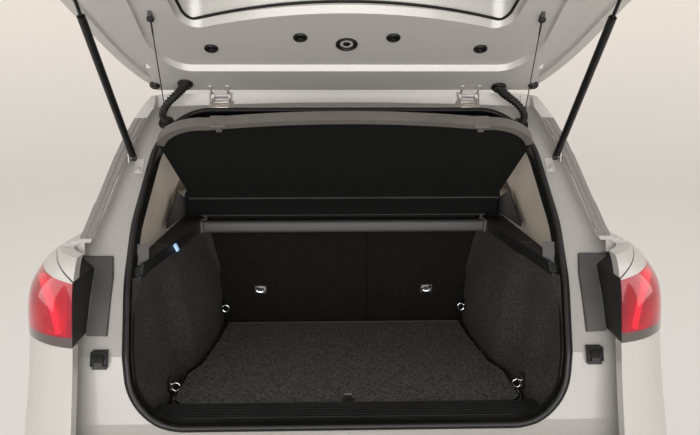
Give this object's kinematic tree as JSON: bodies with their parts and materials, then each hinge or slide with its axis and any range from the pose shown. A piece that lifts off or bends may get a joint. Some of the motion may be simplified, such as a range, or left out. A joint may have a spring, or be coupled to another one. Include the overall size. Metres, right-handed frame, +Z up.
{
  "type": "compact crossover rear body section",
  "caption": "Rear section of a compact crossover body with its raised tailgate, gas struts, luggage compartment, parcel shelf, load floor, split seat backs, lamps, axle and wheels.",
  "frame": {"origin": "centre of the floor pan's front end face, where the section joins the rest of the body, 0.53 m above the ground under the tyres", "axes": "+X to the car's right, +Y towards the front of the car, +Z up"},
  "size_m": [1.8576, 1.7005, 2.1685],
  "materials": {
    "alloy": "painted alloy wheel",
    "beige_plastic": "pale beige moulded trim",
    "black_plastic": "black grained plastic",
    "black_steel": "black painted steel",
    "body_paint": "metallic warm silver paint",
    "carpet": "black needle-felt carpet",
    "chrome": "chromed steel",
    "cord": "black braided cord",
    "dark_glass": "dark tinted safety glass",
    "foam": "dark moulded foam",
    "glass": "tinted safety glass",
    "grey_plastic": "dark grey plastic",
    "headliner_cloth": "pale headlining",
    "inner_paint": "painted inner panel, satin",
    "red_lens": "clear red and clear lens",
    "seal_rubber": "black sealing rubber",
    "seat_fabric": "dark grey fabric",
    "shelf_felt": "black felt",
    "tyre": "black tyre rubber",
    "underbody": "dark underbody coating"
  },
  "bodies": {
    "body": {"arch_claddings": "black_plastic", "axle_brackets": "black_steel", "bump_stops": "seal_rubber", "bumper_cover": "body_paint", "bumper_valance": "black_plastic", "dampers": "black_steel", "floor_pan": "underbody", "frame_rails": "underbody", "headliner": "headliner_cloth", "hinge_leaves": "body_paint", "opening_frame": "inner_paint", "pillar_trims": "beige_plastic", "quarter_glasses": "dark_glass", "quarter_panel_left": "body_paint", "quarter_panel_right": "body_paint", "rear_axle": "black_steel", "rear_panel": "inner_paint", "roof_panel": "body_paint", "seat_brackets": "black_steel", "shelf_bar": "grey_plastic", "side_ledges": "black_plastic", "side_trims": "carpet", "sill_trim": "black_plastic", "springs": "black_steel", "striker": "chrome", "strut_brackets": "inner_paint", "tail_lamp_housings": "black_plastic", "tail_lamp_lenses": "red_lens", "tail_lamp_surrounds": "grey_plastic", "tie_downs": "chrome", "tool_tray": "foam", "weatherstrip": "seal_rubber", "wheelhouses": "underbody"},
    "tailgate": {"tailgate_panel": "body_paint", "tailgate_glass": "glass", "tailgate_lamps": "red_lens", "tailgate_trim": "black_plastic", "tailgate_plugs": "seal_rubber", "tailgate_hinge_arms": "body_paint", "tailgate_fittings": "black_steel", "shelf_cords": "cord"},
    "parcel_shelf": {"parcel_shelf": "shelf_felt", "shelf_pegs": "black_plastic"},
    "strut_tube_left": {"strut_tube_left": "black_steel"},
    "strut_tube_right": {"strut_tube_right": "black_steel"},
    "strut_rod_left": {"strut_rod_left": "black_steel"},
    "strut_rod_right": {"strut_rod_right": "black_steel"},
    "load_floor": {"load_floor": "carpet", "load_floor_strap": "black_plastic"},
    "seat_back_left": {"seat_back_left": "seat_fabric", "headrests_left": "seat_fabric", "seat_arms_left": "black_steel"},
    "seat_back_right": {"seat_back_right": "seat_fabric", "headrest_right": "seat_fabric", "seat_arms_right": "black_steel"},
    "wheel_left": {"wheel_rim_left": "alloy", "tyre_left": "tyre"},
    "wheel_right": {"wheel_rim_right": "alloy", "tyre_right": "tyre"}
  },
  "joints": [
    {"name": "tailgate_hinge", "type": "hinge", "parent": "body", "child": "tailgate", "pos_m": [0, -0.645, 1.077], "axis": [-1, 0, 0], "range_deg": [-80, 0], "deforming": ["shelf_cords"]},
    {"name": "parcel_shelf_hinge", "type": "hinge", "parent": "body", "child": "parcel_shelf", "pos_m": [0, -0.41, 0.635], "axis": [-1, 0, 0], "range_deg": [-37.5, 0]},
    {"name": "load_floor_hinge", "type": "hinge", "parent": "body", "child": "load_floor", "pos_m": [0, -0.322, 0.173], "axis": [-1, 0, 0], "range_deg": [0, 30]},
    {"name": "seat_back_left_hinge", "type": "hinge", "parent": "body", "child": "seat_back_left", "pos_m": [0, -0.25, 0.138], "axis": [-1, 0, 0], "range_deg": [0, 75]},
    {"name": "seat_back_right_hinge", "type": "hinge", "parent": "body", "child": "seat_back_right", "pos_m": [0, -0.25, 0.138], "axis": [-1, 0, 0], "range_deg": [0, 75]},
    {"name": "strut_tube_left_hinge", "type": "hinge", "parent": "body", "child": "strut_tube_left", "pos_m": [-0.646, -0.814, 0.895], "axis": [-1, 0, 0], "range_deg": [-99.36, 0]},
    {"name": "strut_rod_left_slide", "type": "slide", "parent": "strut_tube_left", "child": "strut_rod_left", "axis": [0, -0.6986, 0.7155], "range_m": [-0.2233, 0]},
    {"name": "strut_tube_right_hinge", "type": "hinge", "parent": "body", "child": "strut_tube_right", "pos_m": [0.646, -0.814, 0.895], "axis": [-1, 0, 0], "range_deg": [-99.36, 0]},
    {"name": "strut_rod_right_slide", "type": "slide", "parent": "strut_tube_right", "child": "strut_rod_right", "axis": [0, -0.6986, 0.7155], "range_m": [-0.2233, 0]},
    {"name": "wheel_left_spin", "type": "hinge", "parent": "body", "child": "wheel_left", "pos_m": [-0.772, -0.48, -0.185], "axis": [-1, 0, 0], "continuous": true},
    {"name": "wheel_right_spin", "type": "hinge", "parent": "body", "child": "wheel_right", "pos_m": [0.772, -0.48, -0.185], "axis": [-1, 0, 0], "continuous": true}
  ],
  "couplings": [
    {"joint": "parcel_shelf_hinge", "follows": "tailgate_hinge", "ratio": 0.46875},
    {"joint": "strut_tube_left_hinge", "follows": "tailgate_hinge", "ratio": 1.2357},
    {"joint": "strut_rod_left_slide", "follows": "tailgate_hinge", "m_per_rad": 0.15921},
    {"joint": "strut_tube_right_hinge", "follows": "tailgate_hinge", "ratio": 1.2357},
    {"joint": "strut_rod_right_slide", "follows": "tailgate_hinge", "m_per_rad": 0.15921}
  ]
}
